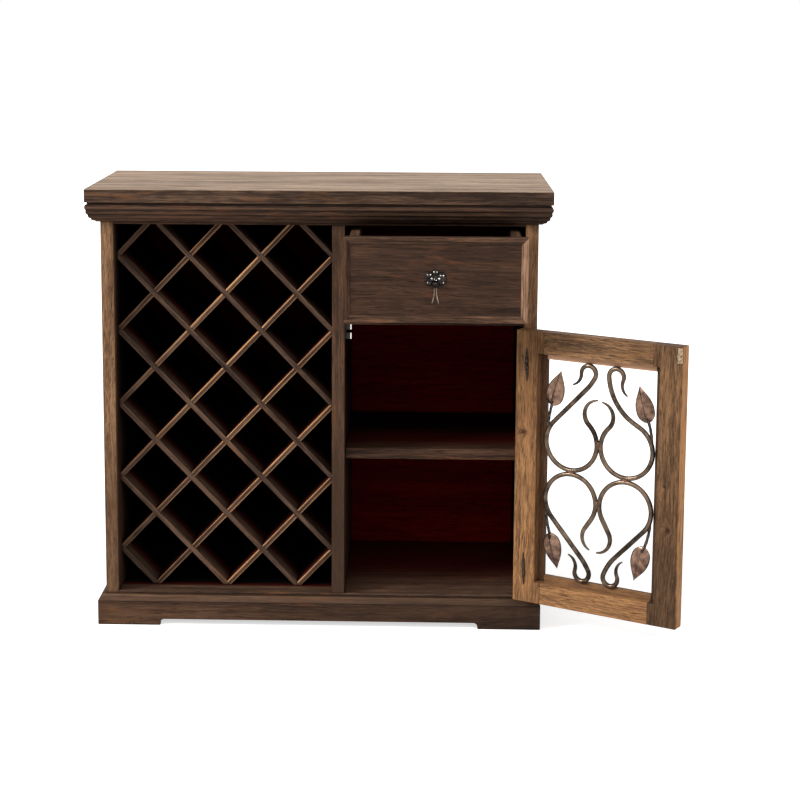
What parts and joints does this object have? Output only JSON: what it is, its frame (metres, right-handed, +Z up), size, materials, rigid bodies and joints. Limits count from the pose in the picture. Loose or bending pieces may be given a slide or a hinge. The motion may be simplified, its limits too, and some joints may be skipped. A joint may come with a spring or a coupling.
{
  "type": "wine cabinet",
  "caption": "Wooden wine cabinet with a diagonal lattice bottle rack beside a drawer over a shelved cupboard, whose framed door holds a wrought scroll grille.",
  "frame": {"origin": "Centre of the footprint of the whole box at rest, with the drawer and the door open as pictured, on the floor plane under the plinth's feet.", "axes": "+X to the cabinet's right as seen from the front, +Y from the front to the back, +Z up. The front of the carcass faces -Y."},
  "size_m": [1.1998, 0.63, 0.914],
  "materials": {
    "top_wood": "wire-brushed planks, brown stain under satin lacquer",
    "carcass_wood": "dark brown stain under satin lacquer, worn edges",
    "dark_wood": "very dark brown stain under satin lacquer",
    "door_wood": "warm brown stain under satin lacquer, open grain and knots",
    "lattice_wood": "dark brown stain, rubbed lighter at the front edges",
    "drawer_box_wood": "brown stain, matt",
    "grille_iron": "forged iron with a bronze-grey patina, coppery leaves",
    "pull_iron": "dark burnished iron, bright on the high points",
    "hinge_iron": "blackened iron",
    "slide_steel": "zinc-plated sheet steel",
    "catch_steel": "nickel-plated steel"
  },
  "bodies": {
    "cabinet": {"left_side": "carcass_wood", "right_side": "carcass_wood", "centre_divider": "carcass_wood", "floor_board": "dark_wood", "sub_top": "dark_wood", "top_rail": "dark_wood", "drawer_rail": "dark_wood", "shelf": "carcass_wood", "back_panel": "dark_wood", "top_board": "top_wood", "cornice_front": "dark_wood", "cornice_left": "dark_wood", "cornice_right": "dark_wood", "plinth_front": "dark_wood", "plinth_left": "dark_wood", "plinth_right": "dark_wood", "plinth_back": "dark_wood", "lattice_falling_1": "lattice_wood", "lattice_falling_2": "lattice_wood", "lattice_falling_3": "lattice_wood", "lattice_falling_4": "lattice_wood", "lattice_falling_5": "lattice_wood", "lattice_falling_6": "lattice_wood", "lattice_falling_7": "lattice_wood", "lattice_falling_8": "lattice_wood", "lattice_rising_1": "lattice_wood", "lattice_rising_2": "lattice_wood", "lattice_rising_3": "lattice_wood", "lattice_rising_4": "lattice_wood", "lattice_rising_5": "lattice_wood", "lattice_rising_6": "lattice_wood", "lattice_rising_7": "lattice_wood", "lattice_rising_8": "lattice_wood", "slide_left_cabinet_channel": "slide_steel", "slide_right_cabinet_channel": "slide_steel", "catch_body": "catch_steel", "hinge_upper_cabinet_leaf": "hinge_iron", "hinge_lower_cabinet_leaf": "hinge_iron"},
    "drawer": {"drawer_front": "dark_wood", "drawer_moulding": "dark_wood", "drawer_left_side": "drawer_box_wood", "drawer_right_side": "drawer_box_wood", "drawer_back": "drawer_box_wood", "drawer_bottom": "drawer_box_wood", "drawer_pull_rosette": "pull_iron", "slide_left_drawer_channel": "slide_steel", "slide_right_drawer_channel": "slide_steel"},
    "door": {"door_hinge_stile": "door_wood", "door_free_stile": "door_wood", "door_top_rail": "door_wood", "door_bottom_rail": "door_wood", "scroll_grille": "grille_iron", "hinge_upper_door_leaf": "hinge_iron", "hinge_upper_olive": "hinge_iron", "hinge_lower_door_leaf": "hinge_iron", "hinge_lower_olive": "hinge_iron", "catch_strike": "catch_steel", "door_pull_rosette": "pull_iron"},
    "drawer_drop": {"drawer_pull_drop": "pull_iron"},
    "door_drop": {"door_pull_drop": "pull_iron"}
  },
  "joints": [
    {"name": "drawer_slide", "type": "slide", "parent": "cabinet", "child": "drawer", "axis": [0, -1, 0], "range_m": [-0.143, 0.117]},
    {"name": "door_hinge", "type": "hinge", "parent": "cabinet", "child": "door", "pos_m": [0.29114, -0.09294, 0], "axis": [0, 0, 1], "range_deg": [-149, 26]},
    {"name": "drawer_drop_hinge", "type": "hinge", "parent": "drawer", "child": "drawer_drop", "pos_m": [0.10914, -0.23504, 0.74425], "axis": [-1, 0, 0], "range_deg": [-10, 100]},
    {"name": "door_drop_hinge", "type": "hinge", "parent": "door", "child": "door_drop", "pos_m": [0.57835, -0.25956, 0.3445], "axis": [0.8572, -0.515, 0], "range_deg": [-10, 100]}
  ]
}
